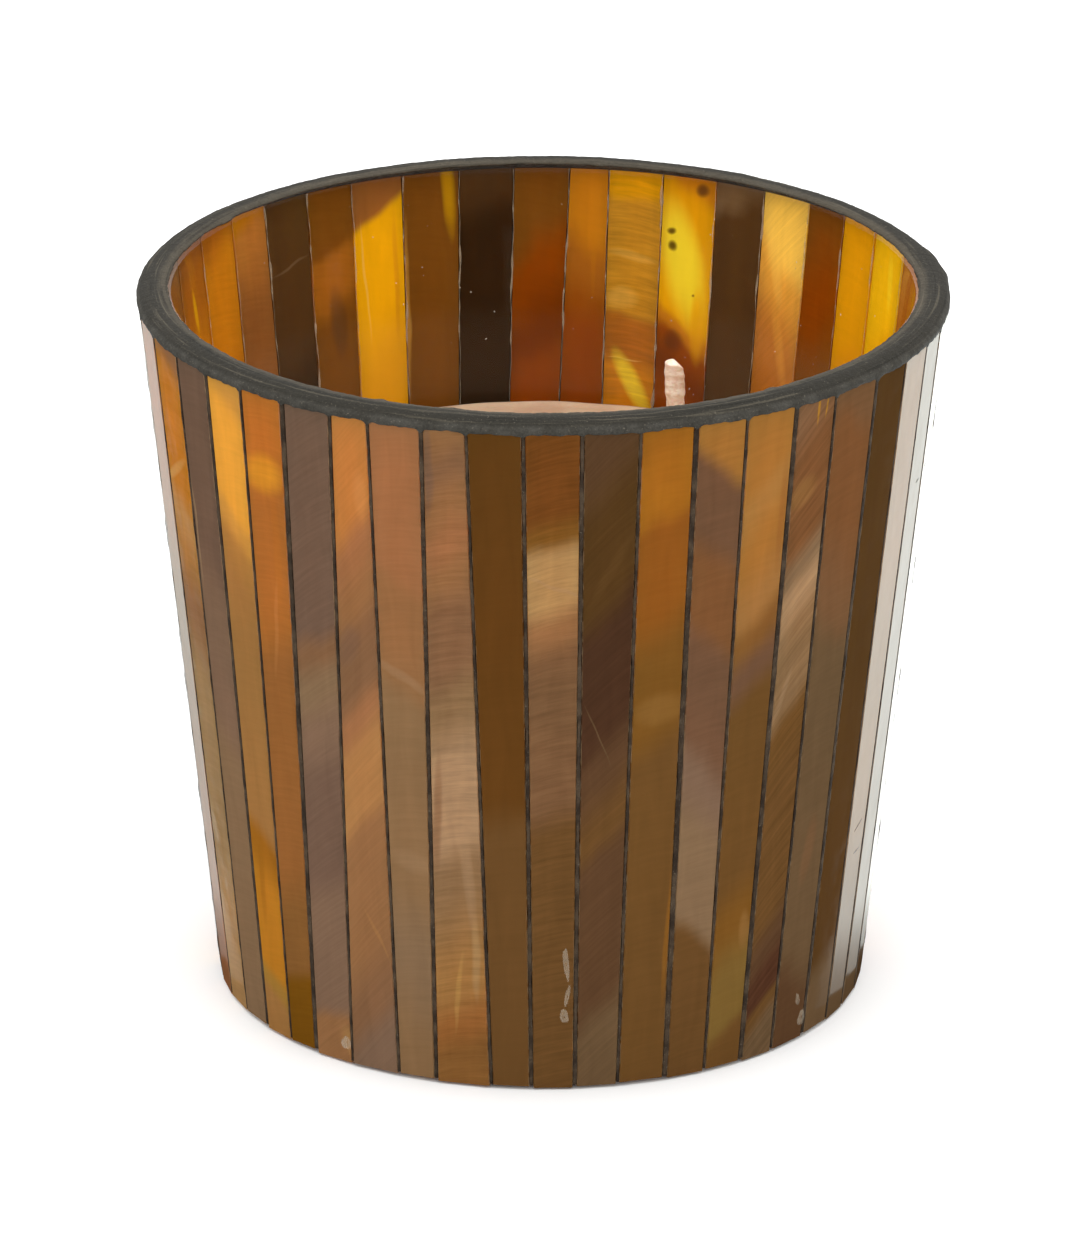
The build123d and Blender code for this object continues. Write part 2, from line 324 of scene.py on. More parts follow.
# How strongly the studio lights a strip's face low down, where wax stands behind it, and high up,
# where light comes through from inside, for red, green and blue; and the same for its lit back.
# A colour is divided by the light on it, so that it looks as the lists above name it.
LOW, HIGH = 46, 70
FACE_LIGHT = {LOW: (0.76, 0.76, 0.81), HIGH: (0.94, 0.87, 0.93)}
LIT_LIGHT = {LOW: (0.8, 0.62, 0.55), HIGH: (0.8, 0.62, 0.55)}
FACE_POWER = 0.88
LIT_POWER = 0.82

# Gains and power that turn a face colour into the colour of light through the glass, and back.
LIT_FROM_FACE, LIT_FROM_FACE_POWER = (0.5, 0.5, 0.5), 1.1
FACE_FROM_LIT, FACE_FROM_LIT_POWER = (0.9, 0.8, 0.8), 0.8


def linear(code):
    """Linear colour, with alpha 1, of a colour written as six hexadecimal digits."""
    values = []
    for start in (0, 2, 4):
        value = int(code[start:start + 2], 16) / 255
        values.append(value / 12.92 if value <= 0.04045 else ((value + 0.055) / 1.055) ** 2.4)
    return (*values, 1.0)


def held(colour, gains, power=1.0):
    """Colour divided by a gain for each channel and raised to a power, held below full white."""
    return (*[min(0.97, (value / gain) ** power) for value, gain in zip(colour[:3], gains)], 1.0)


def glass_colour(side, name, height):
    """Colour to give the glass so that it looks as named on that side at that height."""
    light = FACE_LIGHT if side == "face" else LIT_LIGHT
    share = min(1, max(0, (height - LOW) / (HIGH - LOW)))
    gains = [low + (high - low) * share for low, high in zip(light[LOW], light[HIGH])]
    if side == "face":
        return held(linear(GLASS_FACE[name]), gains, FACE_POWER)
    return held(linear(GLASS_LIT[name]), gains, LIT_POWER)


class Finish:
    """A named material, or the world, being made: adds shader nodes, sets their inputs and joins them."""

    def __init__(self, made):
        self.material = bpy.data.materials.new(made) if isinstance(made, str) else made
        self.material.use_nodes = True
        self.tree = self.material.node_tree
        self.tree.nodes.clear()

    def put(self, socket, value):
        """Joins a socket to value, or sets it to that value."""
        if isinstance(value, bpy.types.NodeSocket):
            self.tree.links.new(value, socket)
        else:
            socket.default_value = value

    def add(self, kind, inputs=None, **settings):
        """Adds a node with its settings, and sets or joins its inputs."""
        node = self.tree.nodes.new(kind)
        for key, value in settings.items():
            setattr(node, key, value)
        for key, value in (inputs or {}).items():
            self.put(node.inputs[key], value)
        return node

    def maths(self, operation, *values):
        """Result of a Math node."""
        return self.add("ShaderNodeMath", dict(enumerate(values)), operation=operation).outputs[0]

    def place(self, turn=0.0, size=(1, 1, 1), shift=(0, 0, 0)):
        """Object coordinates in millimetres, turned about Z by an angle in degrees, stretched and moved."""
        where = self.add("ShaderNodeTexCoord").outputs["Object"]
        turned = {"Vector": where, "Scale": (1000, 1000, 1000), "Rotation": (0, 0, math.radians(turn))}
        where = self.add("ShaderNodeMapping", turned).outputs[0]
        if size == (1, 1, 1) and shift == (0, 0, 0):
            return where
        return self.add("ShaderNodeMapping", {"Vector": where, "Scale": size, "Location": shift}).outputs[0]

    def parts(self, vector):
        """The three numbers of a vector."""
        return self.add("ShaderNodeSeparateXYZ", {0: vector}).outputs

    def vector(self, x, y, z):
        """A vector of three numbers."""
        return self.add("ShaderNodeCombineXYZ", {0: x, 1: y, 2: z}).outputs[0]

    def noise(self, where, scale, detail=2.0, roughness=0.5, distortion=0.0):
        """Smooth noise from 0 to 1."""
        inputs = {"Vector": where, "Scale": scale, "Detail": detail, "Roughness": roughness, "Distortion": distortion}
        return self.add("ShaderNodeTexNoise", inputs).outputs["Fac"]

    def graded(self, amount, low, high, start=0.0, end=1.0):
        """Number that goes smoothly from start to end while amount goes from low to high."""
        inputs = {"Value": amount, "From Min": low, "From Max": high, "To Min": start, "To Max": end}
        return self.add("ShaderNodeMapRange", inputs, interpolation_type="SMOOTHSTEP").outputs["Result"]

    def ramp(self, amount, stops):
        """Colour from a list of (place from 0 to 1, colour)."""
        node = self.add("ShaderNodeValToRGB", {0: amount})
        node.color_ramp.interpolation = "EASE"
        elements = node.color_ramp.elements
        elements[0].position, elements[0].color = stops[0]
        elements[1].position, elements[1].color = stops[-1]
        for position, colour in stops[1:-1]:
            elements.new(position).color = colour
        return node.outputs["Color"]

    def mix(self, amount, first, second):
        """Blend of two colours."""
        node = self.add("ShaderNodeMix", data_type="RGBA")
        self.put(node.inputs[0], amount)
        self.put(node.inputs[6], first)
        self.put(node.inputs[7], second)
        return node.outputs[2]

    def varied(self, colour, value):
        """Colour with its brightness multiplied by value."""
        return self.add("ShaderNodeHueSaturation", {"Color": colour, "Value": value}).outputs[0]

    def bump(self, height, strength, distance):
        """Surface direction with small relief of the given depth in metres."""
        return self.add("ShaderNodeBump", {"Height": height, "Strength": strength, "Distance": distance}).outputs[0]

    def plain(self, **inputs):
        """A Principled shader with the inputs named by their labels, with _ for a space."""
        named = {key.replace("_", " "): value for key, value in inputs.items()}
        return self.add("ShaderNodeBsdfPrincipled", named).outputs[0]

    def done(self, shader):
        """Joins the shader to the output and returns the material."""
        self.add("ShaderNodeOutputMaterial", {"Surface": shader})
        return self.material


def heights_and_names(words):
    """The table's text "88-79 amber brown, 75.5 saddle" as pairs of a height and a colour name."""
    pairs = []
    for part in words.split(", "):
        heights, name = part.split(" ", 1)
        pairs += [(float(height), name) for height in heights.split("-")]
    return pairs


def glass_stops(look, side):
    """Stops of the colour ramp up a strip, for its face or for light through it."""
    if side in look:
        stops = [(height, glass_colour(side, name, height)) for height, name in heights_and_names(look[side])]
    elif side == "lit":
        known = heights_and_names(look["face"])
        stops = [(height, held(linear(GLASS_FACE[name]), LIT_FROM_FACE, LIT_FROM_FACE_POWER)) for height, name in known]
    else:
        known = heights_and_names(look["lit"])
        stops = [(height, held(linear(GLASS_LIT[name]), FACE_FROM_LIT, FACE_FROM_LIT_POWER)) for height, name in known]
    return sorted((height / HEIGHT, colour) for height, colour in stops)


def patch_mask(n, across, height, patch):
    """1 inside a soft leaning oval and 0 outside it, with a wandering edge."""
    middle, aside, tall, wide, lean, strength = patch[1:]
    up = n.maths("SUBTRACT", height, middle)
    axis = n.maths("MULTIPLY_ADD", up, lean if tall >= wide else 0.0, aside)
    right = n.maths("SUBTRACT", across, axis)
    if tall < wide:
        up = n.maths("MULTIPLY_ADD", right, -0.2 * lean, up)
    up = n.maths("POWER", n.maths("DIVIDE", n.maths("ABSOLUTE", up), tall), 2.0)
    right = n.maths("POWER", n.maths("DIVIDE", n.maths("ABSOLUTE", right), wide), 2.0)
    far = n.maths("ADD", up, right)
    return n.graded(far, 0.0, 1.3, strength, 0.0)


def stained_glass(number, turn):
    """Streaky stained glass of one strip.

    The colour follows a ramp up the strip whose height is bent by noise and leans across it, then
    patches and fine streaks. The back takes the colour of light coming through.
    """
    look = STRIPS[number]
    n = Finish(f"stained_glass_{number:02d}")
    where = n.place(turn)
    out, across, up = n.parts(where)
    moved = n.place(turn, (0.3, 0.55, 0.25), (0, 0, 41.0 * number))
    depth = n.maths("SUBTRACT", n.maths("MULTIPLY_ADD", up, FLARE, FOOT_FACE_RADIUS), out)
    inner = n.graded(depth, 0.5, 1.1)
    swirl = n.noise(moved, 0.35, 2.0, 0.45, 0.3)
    centred = n.maths("SUBTRACT", swirl, 0.5)
    bent = n.maths("MULTIPLY_ADD", centred, look.get("wander", USUAL_WANDER), up)
    bent = n.maths("MULTIPLY_ADD", across, -look["lean"], bent)
    steady = n.maths("MULTIPLY_ADD", centred, PATCH_WANDER, up)
    level = n.maths("DIVIDE", bent, HEIGHT)
    colours = {side: n.ramp(level, glass_stops(look, side)) for side in ("face", "lit")}
    wandering = n.maths("MULTIPLY_ADD", centred, PATCH_WANDER, across)
    for side in colours:
        for patch in look.get(f"{side} patches", []):
            colour = glass_colour(side, patch[0], patch[1])
            colours[side] = n.mix(patch_mask(n, wandering, steady, patch), colours[side], colour)
    colour = n.mix(inner, colours["face"], colours["lit"])
    curved = n.maths("MULTIPLY_ADD", n.maths("MULTIPLY", across, across), 0.03, up)
    curved = n.maths("MULTIPLY_ADD", across, -look.get("grain", 0.15), curved)
    streaks = n.vector(n.maths("MULTIPLY", across, 0.12), 0.1 * number, n.maths("MULTIPLY", curved, 1.6))
    fine = n.noise(streaks, 1.0, 4.0, 0.7)
    wisps = n.noise(n.place(turn, (0.2, 0.5, 0.08), (0, 13.0 * number, 0)), 1.0, 2.0, 0.5, 0.8)
    value = n.maths("MULTIPLY_ADD", n.maths("SUBTRACT", fine, 0.5), 1.9 * look["brushed"], 1.0)
    value = n.maths("MULTIPLY_ADD", n.maths("SUBTRACT", wisps, 0.5), 0.25, value)
    colour = n.varied(colour, value)
    # Pale frosted colour on the strips' sides: partly the real ground edge, partly a painted highlight standing for the
    # glints along the edges.
    frosted_edge_and_glint = n.maths("MULTIPLY", n.graded(depth, 0.02, 0.09), n.graded(depth, 1.3, 1.5, 1.0, 0.0))
    chips = n.noise(n.place(turn, (1.0, 1.0, 0.6)), 1.3, 2.0)
    frosted_edge_and_glint = n.maths("MULTIPLY", frosted_edge_and_glint, n.graded(chips, 0.4, 0.62, 0.1, 0.75))
    colour = n.mix(frosted_edge_and_glint, colour, linear("b79a74"))
    roughness = n.maths("MULTIPLY_ADD", fine, 0.12 + 0.2 * look["brushed"], 0.05)
    roughness = n.maths("MULTIPLY_ADD", frosted_edge_and_glint, 0.35, roughness)
    relief = n.maths("MULTIPLY_ADD", fine, 0.3 * look["brushed"], n.noise(where, 0.22, 2.0))
    normal = n.bump(relief, 0.35, 0.0002)
    solid = n.plain(Base_Color=colour, Roughness=roughness, Specular_IOR_Level=look.get("gloss", 0.22), Normal=normal)
    through = n.add("ShaderNodeBsdfTranslucent", {"Color": colour, "Normal": normal}).outputs[0]
    return n.done(n.add("ShaderNodeMixShader", {0: THROUGH, 1: solid, 2: through}).outputs[0])


def clear_glass():
    """Clear tumbler glass: seen through, with a reflection that grows towards grazing angles."""
    n = Finish("clear_tumbler_glass")
    facing = n.add("ShaderNodeLayerWeight", {"Blend": 0.5}).outputs["Facing"]
    mirror = n.maths("MULTIPLY_ADD", n.maths("POWER", facing, 5.0), 0.6, 0.01)
    wave = n.noise(n.place(), 0.15, 2.0)
    normal = n.bump(wave, 0.3, 0.0001)
    tint = n.mix(wave, (0.97, 0.975, 0.965, 1), (0.99, 0.99, 0.985, 1))
    through = n.add("ShaderNodeBsdfTransparent", {"Color": tint}).outputs[0]
    shine = n.add("ShaderNodeBsdfGlossy", {"Roughness": 0.04, "Normal": normal}).outputs[0]
    return n.done(n.add("ShaderNodeMixShader", {0: mirror, 1: through, 2: shine}).outputs[0])


def grout(name, light, dark):
    """Sanded grout: cement with lighter grains and fine pits."""
    n = Finish(name)
    where = n.place()
    cloud = n.noise(where, 0.4, 4.0, 0.6)
    grain = n.noise(where, 3.5, 3.0, 0.7)
    specks = n.graded(n.noise(where, 5.0, 1.0), 0.68, 0.74)
    colour = n.mix(n.graded(cloud, 0.35, 0.68), linear(dark), linear(light))
    if name == "rim_grout":
        # The rim's top gets its own colours, with rings of painted highlight and painted shade.
        colour = rim_top_and_painted_rings(n, where, cloud, colour)
    colour = n.varied(colour, n.maths("MULTIPLY_ADD", grain, 1.3, 0.35))
    colour = n.mix(n.maths("MULTIPLY", specks, 0.3), colour, linear("8a8172"))
    relief = n.maths("MULTIPLY_ADD", grain, 1.0, n.maths("MULTIPLY", cloud, 0.4))
    roughness = n.maths("MULTIPLY_ADD", grain, 0.25, 0.65)
    normal = n.bump(relief, 0.6, 0.00025)
    return n.done(n.plain(Base_Color=colour, Roughness=roughness, Specular_IOR_Level=0.1, Normal=normal))


def rim_top_and_painted_rings(n, where, cloud, colour):
    """Grout colour of the rim: darker on top, paler towards the inner edge, with fine pale and dark rings of painted
    highlight along the glass lip and ridges and painted shade in the grooves.
    """
    x, y, height = n.parts(where)
    radius = n.add("ShaderNodeVectorMath", {0: n.vector(x, y, 0.0)}, operation="LENGTH").outputs["Value"]
    uneven = n.maths("MULTIPLY_ADD", n.maths("SUBTRACT", cloud, 0.5), 1.2, radius)
    top = n.graded(height, HEIGHT - 1.0, HEIGHT - 0.5)
    inner = n.graded(uneven, PALE_INNER_RADIUS - 0.6, PALE_INNER_RADIUS + 0.3, 1.0, 0.0)
    rings = n.vector(n.maths("MULTIPLY", radius, 2.6), n.maths("MULTIPLY", x, 0.06), n.maths("MULTIPLY", y, 0.06))
    painted_ring_lines = n.noise(rings, 1.0, 3.0, 0.6)
    on_top = n.mix(inner, linear("2c2a25"), linear("443f36"))
    # Pale rings: painted highlight along the glass lip and on the ridges of the top.
    on_top = n.mix(n.graded(painted_ring_lines, 0.55, 0.68, 0.0, 0.45), on_top, linear("5d574b"))
    # Dark rings: painted shade in the grooves between the ridges.
    on_top = n.mix(n.graded(painted_ring_lines, 0.44, 0.32, 0.0, 0.6), on_top, linear("1d1c18"))
    return n.mix(top, colour, on_top)


def glue(name, opacity, code):
    """Set clear glue, cloudy in places, seen through in part."""
    n = Finish(name)
    where = n.place()
    cloud = n.noise(where, 1.2, 3.0, 0.6)
    colour = n.mix(cloud, linear(code), linear("efe6d2"))
    normal = n.bump(cloud, 0.5, 0.0002)
    roughness = n.maths("MULTIPLY_ADD", cloud, 0.25, 0.12)
    return n.done(n.plain(Base_Color=colour, Roughness=roughness, Alpha=opacity, Normal=normal))


def candle_wax():
    """Poured soy wax with faint mottling, a soft sheen and tiny pits; its cream is painted a darker, pinker tan:
    painted shade and painted orange light from the glass.
    """
    n = Finish("poured_wax")
    where = n.place()
    mottle = n.noise(where, 0.16, 4.0, 0.6, 0.4)
    frost = n.noise(where, 1.8, 3.0, 0.6)
    # Painted shade and painted orange light from the glass: the cream wax is given the darker, pinker tan it shows deep
    # in the jar.
    colour = n.mix(n.graded(mottle, 0.35, 0.7), linear("b8967a"), linear("c4a688"))
    colour = n.mix(n.graded(frost, 0.6, 0.75, 0.0, 0.35), colour, linear("cdb59c"))
    relief = n.maths("MULTIPLY_ADD", frost, 0.3, mottle)
    return n.done(n.plain(Base_Color=colour, Roughness=n.maths("MULTIPLY_ADD", frost, 0.2, 0.34),
                          Subsurface_Weight=0.15, Subsurface_Scale=0.002, Normal=n.bump(relief, 0.4, 0.0004)))


def waxed_cotton():
    """Cotton wick soaked in wax: pink-cream with the braid just showing."""
    n = Finish("waxed_cotton_wick")
    where = n.place()
    braid = n.noise(n.place(0, (1.0, 1.0, 1.6)), 1.1, 3.0, 0.6, 0.5)
    soak = n.noise(where, 0.5, 2.0)
    colour = n.mix(n.graded(braid, 0.35, 0.65), linear("dcc1a8"), linear("eedfcc"))
    colour = n.mix(n.graded(soak, 0.5, 0.75, 0.0, 0.4), colour, linear("f2e8d8"))
    return n.done(n.plain(Base_Color=colour, Roughness=n.maths("MULTIPLY_ADD", braid, 0.25, 0.35),
                          Subsurface_Weight=0.2, Subsurface_Scale=0.001, Normal=n.bump(braid, 0.6, 0.0003)))


def tab_metal():
    """Tinned steel of the wick tabs, with a fine pressed grain."""
    n = Finish("tinned_steel")
    where = n.place()
    grain = n.noise(n.place(0, (0.4, 4.0, 1.0)), 1.0, 3.0, 0.6)
    colour = n.mix(grain, (0.55, 0.54, 0.52, 1), (0.72, 0.71, 0.69, 1))
    return n.done(n.plain(Base_Color=colour, Metallic=1.0, Roughness=n.maths("MULTIPLY_ADD", grain, 0.2, 0.25),
                          Normal=n.bump(n.noise(where, 2.0), 0.3, 0.0001)))


def sticker_foam():
    """White foam tape with fine open cells."""
    n = Finish("foam_tape")
    where = n.place()
    cells = n.add("ShaderNodeTexVoronoi", {"Vector": where, "Scale": 3.0}).outputs["Distance"]
    colour = n.mix(cells, (0.86, 0.86, 0.83, 1), (0.7, 0.7, 0.67, 1))
    roughness = n.maths("MULTIPLY_ADD", cells, 0.2, 0.7)
    return n.done(n.plain(Base_Color=colour, Roughness=roughness, Normal=n.bump(cells, 0.7, 0.0003)))


def wandering(along, seed, rates, sizes):
    """Smooth wander along a line: a sum of sines of the given rates and sizes with seeded phases."""
    phases = np.random.default_rng(seed).uniform(0, 2 * math.pi, len(rates))
    return sum(size * np.sin(rate * along + phase) for rate, size, phase in zip(rates, sizes, phases))


def face_radius(z):
    """Distance from the axis to the middle of a strip's face."""
    return FOOT_FACE_RADIUS + FLARE * z


def back_radius(z):
    """Distance from the axis to the middle of a strip's back."""
    return face_radius(z) - STRIP_THICKNESS * math.hypot(1, FLARE)


def bore_radius(z):
    """Inner radius of the tumbler."""
    return BORE_RADIUS_AT_RIM - FLARE * (HEIGHT - z)


def round_axis(radius, turn, z):
    """Points at a distance from the axis, an angle round it and a height, all arrays of one shape."""
    return np.stack([radius * np.cos(turn), radius * np.sin(turn), z], axis=-1)


def grid_faces(rows, columns, ring, loop):
    """Quads of a grid of points, row by row; ring joins its last column to its first, loop its last row."""
    index = np.arange(rows * columns).reshape(rows, columns)
    if ring:
        index = np.hstack([index, index[:, :1]])
    if loop:
        index = np.vstack([index, index[:1]])
    corners = [index[:-1, :-1], index[:-1, 1:], index[1:, 1:], index[1:, :-1]]
    return np.stack(corners, axis=-1).reshape(-1, 4)


def signed_volume(points, faces):
    """Volume inside quads that close a shape, negative if they face inwards."""
    a, b, c, d = (points[faces[:, k]] for k in range(4))
    return float(np.sum(np.cross(a, b) * c) + np.sum(np.cross(a, c) * d)) / 6


def closed_grids(grids, ring=True, loop=False):
    """Points and outward faces of closed shapes, each a grid of (row, column, xyz) in millimetres.

    A grid that isn't a loop is closed by its first and last rows, each of which meets in its own centre.
    """
    points, faces, count = [], [], 0
    for grid in grids:
        if not loop:
            ends = [np.repeat(grid[row:row + 1].mean(axis=1, keepdims=True), grid.shape[1], axis=1) for row in (0, -1)]
            grid = np.concatenate([ends[0], grid, ends[1]])
        own = grid_faces(grid.shape[0], grid.shape[1], ring, loop)
        flat = grid.reshape(-1, 3)
        if signed_volume(flat, own) < 0:
            own = own[:, ::-1]
        points.append(flat)
        faces.append(own + count)
        count += len(flat)
    return np.concatenate(points), np.concatenate(faces)


def piece(name, points, faces, material):
    """A smooth mesh object at the origin from points in millimetres and faces, with coinciding points merged."""
    mesh = bpy.data.meshes.new(name)
    mesh.from_pydata((points * MM).tolist(), [], faces.tolist())
    mesh.materials.append(material)
    made = bpy.data.objects.new(name, mesh)
    bpy.context.scene.collection.objects.link(made)
    merge_points(mesh)
    mesh.shade_smooth()
    return made


def merge_points(mesh):
    """Merges points of a mesh that share a place, which turns a row at a pole into one point."""
    work = bmesh.new()
    work.from_mesh(mesh)
    bmesh.ops.remove_doubles(work, verts=work.verts, dist=1e-7)
    bmesh.ops.dissolve_degenerate(work, edges=work.edges, dist=1e-8)
    work.to_mesh(mesh)
    work.free()


def strip_edges(node):
    """Middle angle of a strip in degrees, and its left and right edges across at foot and top, in millimetres."""
    corners = np.array([vertex.co for vertex in node.data.vertices]) / MM
    centre = corners.mean(axis=0)
    middle = math.atan2(centre[1], centre[0])
    across = corners[:, 1] * math.cos(middle) - corners[:, 0] * math.sin(middle)
    low = corners[:, 2] < corners[:, 2].min() + 0.01
    high = corners[:, 2] > corners[:, 2].max() - 0.01
    edges = [[across[low].min(), across[high].min()], [across[low].max(), across[high].max()]]
    return math.degrees(middle), edges


def edge_line(strip, side, radius, z):
    """Points along one edge of a strip, where it crosses the level of radius, a number for each height z."""
    middle, edges = strip
    share = (z - MEAN_STRIP_FOOT) / (STRIP_TOP - MEAN_STRIP_FOOT)
    across = edges[side][0] + (edges[side][1] - edges[side][0]) * share
    angle = math.radians(middle)
    x = radius * math.cos(angle) - across * math.sin(angle)
    y = radius * math.sin(angle) + across * math.cos(angle)
    return np.stack([x, y, z], axis=-1)


def joint_lines(strips, number, radius, z):
    """Middle of a joint at each height z, the way across it, the way out of it and its width."""
    left = edge_line(strips[(number - 1) % STRIP_COUNT], 1, radius, z)
    right = edge_line(strips[number % STRIP_COUNT], 0, radius, z)
    width = np.linalg.norm(right - left, axis=-1)
    out = (left + right) * (1, 1, 0)
    out = out / np.linalg.norm(out, axis=-1, keepdims=True)
    across = np.stack([-out[:, 1], out[:, 0], np.zeros(len(z))], axis=-1)
    return (left + right) / 2, across, out, width


GROUT_ROWS = 130
GROUT_DEPTH = 1.15
GROUT_LAP = -0.06


def grout_lines(strips):
    """Grout in every joint: up the joint runs a section like a loaf, whose crown and sides wander.

    Across, half the width is half the joint's plus a lap; outward, the crown is the sine of the way
    round the loaf times a height that wanders from just sunk to just proud of the faces.
    """
    z = np.linspace(GROUT_FOOT, STRIP_TOP + 0.1, GROUT_ROWS)
    arch = np.linspace(0, math.pi, 7)
    grids = []
    for number in range(STRIP_COUNT):
        middle, across, out, width = joint_lines(strips, number, face_radius(z), z)
        crown = wandering(z, number, (0.35, 0.9, 2.1), (0.035, 0.03, 0.02)) - 0.005
        laps = [GROUT_LAP + wandering(z, 100 * side + number, (0.5, 1.3, 3.1), (0.03, 0.025, 0.02)) for side in (1, 2)]
        lap = np.where(arch[None, :] < math.pi / 2, laps[0][:, None], laps[1][:, None])
        side = -np.cos(arch)[None, :] * (width[:, None] / 2 + lap)
        rise = -0.04 + (0.05 + crown[:, None]) * np.sin(arch)[None, :]
        deep = np.stack([width * 0.46, -width * 0.46], axis=-1)
        side = np.hstack([side, deep])
        rise = np.hstack([rise, np.full((len(z), 2), -GROUT_DEPTH)])
        grids.append(middle[:, None] + side[..., None] * across[:, None] + rise[..., None] * out[:, None])
    return closed_grids(grids)


BEAD_ROWS = 150
BEAD_SPREAD = 0.7
BEAD_THICKNESS = 0.1


def glue_beads(strips):
    """Beads of glue behind every joint: a flat lens between tumbler and strips that runs up the joint.

    Its half width is a wander, cut off at a least width, so that the glue spreads in some places
    and thins to a hair in others. Its thickness is a sine across the lens.
    """
    z = np.linspace(GROUT_FOOT, STRIP_TOP, BEAD_ROWS)
    arch = np.linspace(0, math.pi, 7)
    strengths = np.random.default_rng(11).uniform(0.25, 1.0, STRIP_COUNT)
    grids = []
    for number in range(STRIP_COUNT):
        back = back_radius(z)
        middle = joint_lines(strips, number, back, z)[0]
        angle = np.arctan2(middle[:, 1], middle[:, 0])
        inner = back - GLUE_LINE + 0.01
        spread = wandering(z, 300 + number, (0.25, 0.7, 1.9, 4.3), (0.12, 0.12, 0.1, 0.07)) * strengths[number]
        half = BEAD_SPREAD * np.maximum(0.035, 0.06 + spread)
        aside = wandering(z, 400 + number, (0.4, 1.1), (0.06, 0.05))
        reach = aside[:, None] - np.cos(arch)[None, :] * half[:, None]
        thick = BEAD_THICKNESS * np.sin(arch)[None, :] * np.minimum(1, half / 0.2)[:, None]
        reach = np.hstack([reach, reach[:, -2:0:-1]])
        thick = np.hstack([thick, 0 * thick[:, -2:0:-1]])
        round_by = angle[:, None] + reach / inner[:, None]
        radius = inner[:, None] + thick
        up = np.repeat(z[:, None], radius.shape[1], axis=1)
        grids.append(round_axis(radius, round_by, up))
    return closed_grids(grids)


BAND_STEPS = 1440
# Lumps of grout on the band: angle from the front, length and swelling.
OUTER_LUMPS = [(98.0, 3.0, 0.3), (104.5, 2.2, 0.35), (-31.0, 1.4, 0.12), (12.0, 1.0, 0.1), (150.0, 2.0, 0.2)]
INNER_LUMPS = [(-13.4, 1.3, 0.55), (-24.6, 0.9, 0.4), (36.0, 0.8, 0.3), (171.0, 1.0, 0.3), (-120.0, 1.6, 0.35)]


def bulge(angle, lumps):
    """Sum of bell curves round the ring, one for each lump's angle, half length in mm and height."""
    total = np.zeros_like(angle)
    for middle, half, height in lumps:
        away = (np.degrees(angle) + 90 - middle + 180) % 360 - 180
        total += height * np.exp(-((away * math.pi / 180 * RIM_FACE_RADIUS / half) ** 2))
    return total


def rim_band(strips):
    """Grout band over the lip: a section of 17 corners swept round the rim, its skin and lower edge uneven.

    The lower edge is a wander round the ring less a rounded drop at each joint, where grout fills
    the corners between strips. The skin moves in and out by another wander and the lumps.
    """
    angle = np.linspace(0, 2 * math.pi, BAND_STEPS, endpoint=False)
    low = STRIP_TOP - 0.12 + wandering(angle, 21, (23, 57, 131, 240), (0.05, 0.05, 0.04, 0.03))
    depths = np.random.default_rng(22).uniform(0.15, 0.6, STRIP_COUNT)
    for number in range(STRIP_COUNT):
        middle = joint_lines(strips, number, np.array([RIM_FACE_RADIUS]), np.array([STRIP_TOP]))[0][0]
        away = (angle - math.atan2(middle[1], middle[0]) + math.pi) % (2 * math.pi) - math.pi
        reach = np.clip(1 - np.abs(away) * RIM_FACE_RADIUS / 0.75, 0, 1)
        low = low - depths[number] * reach ** 2
    skin = wandering(angle, 23, (31, 83, 190, 333), (0.015, 0.015, 0.01, 0.008)) - 0.05 + bulge(angle, OUTER_LUMPS)
    top = wandering(angle, 24, (17, 61, 149, 290), (0.02, 0.015, 0.01, 0.01)) - 0.055
    inner = wandering(angle, 25, (29, 71, 160, 310), (0.04, 0.035, 0.03, 0.02)) + bulge(angle, INNER_LUMPS)
    none = np.zeros(BAND_STEPS)
    outer = BAND_OUTER_RADIUS + skin
    section = [
        (RIM_FACE_RADIUS - 0.35 + none, low),
        (outer - 0.12, low + 0.01),
        (outer - 0.03, low + 0.1),
        (outer, low * 0.4 + (HEIGHT - 1.1) * 0.6),
        (outer - 0.01, HEIGHT - 1.12 + top),
        (outer - 0.08, HEIGHT - 0.98 + top),
        (outer - 0.5, HEIGHT - 0.52 + top),
        (outer - 0.62, HEIGHT - 0.42 + top),
        (BAND_OUTER_RADIUS - 1.5 + skin, HEIGHT - 0.09 + top),
        (BAND_OUTER_RADIUS - 1.75 + skin, HEIGHT - 0.02 + top),
        (BAND_INNER_RADIUS + 1.2 - inner * 0.3, HEIGHT + top),
        (BAND_INNER_RADIUS + 0.6 - inner * 0.8, HEIGHT - 0.05 + top),
        (BAND_INNER_RADIUS + 0.25 - inner, HEIGHT - 0.15 + top),
        (BAND_INNER_RADIUS + 0.05 - inner, HEIGHT - 0.3 + top * 0.5),
        (BAND_INNER_RADIUS + 0.02 - inner, LIP_HEIGHT - 0.04 + none),
        (BAND_INNER_RADIUS + 0.5 + none, LIP_HEIGHT - 0.02 + none),
        (BAND_INNER_RADIUS + 2.3 + none, STRIP_TOP - 0.05 + none),
    ]
    radius = np.stack([part[0] for part in section], axis=-1)
    z = np.stack([part[1] for part in section], axis=-1)
    return closed_grids([round_axis(radius, angle[:, None], z)], loop=True)


def arc(centre, radius, start, end, steps):
    """Points of an arc in the (radius, height) plane, its angles in degrees."""
    turn = np.radians(np.linspace(start, end, steps))
    return [(centre[0] + radius * math.cos(t), centre[1] + radius * math.sin(t)) for t in turn]


def lathed(profile, steps):
    """Grid of a profile of (radius, height) points turned round the axis."""
    profile = np.array(profile)
    turn = np.linspace(0, 2 * math.pi, steps, endpoint=False)
    radius, z = profile[:, :1], profile[:, 1:]
    return round_axis(radius, turn, np.repeat(z, steps, axis=1))


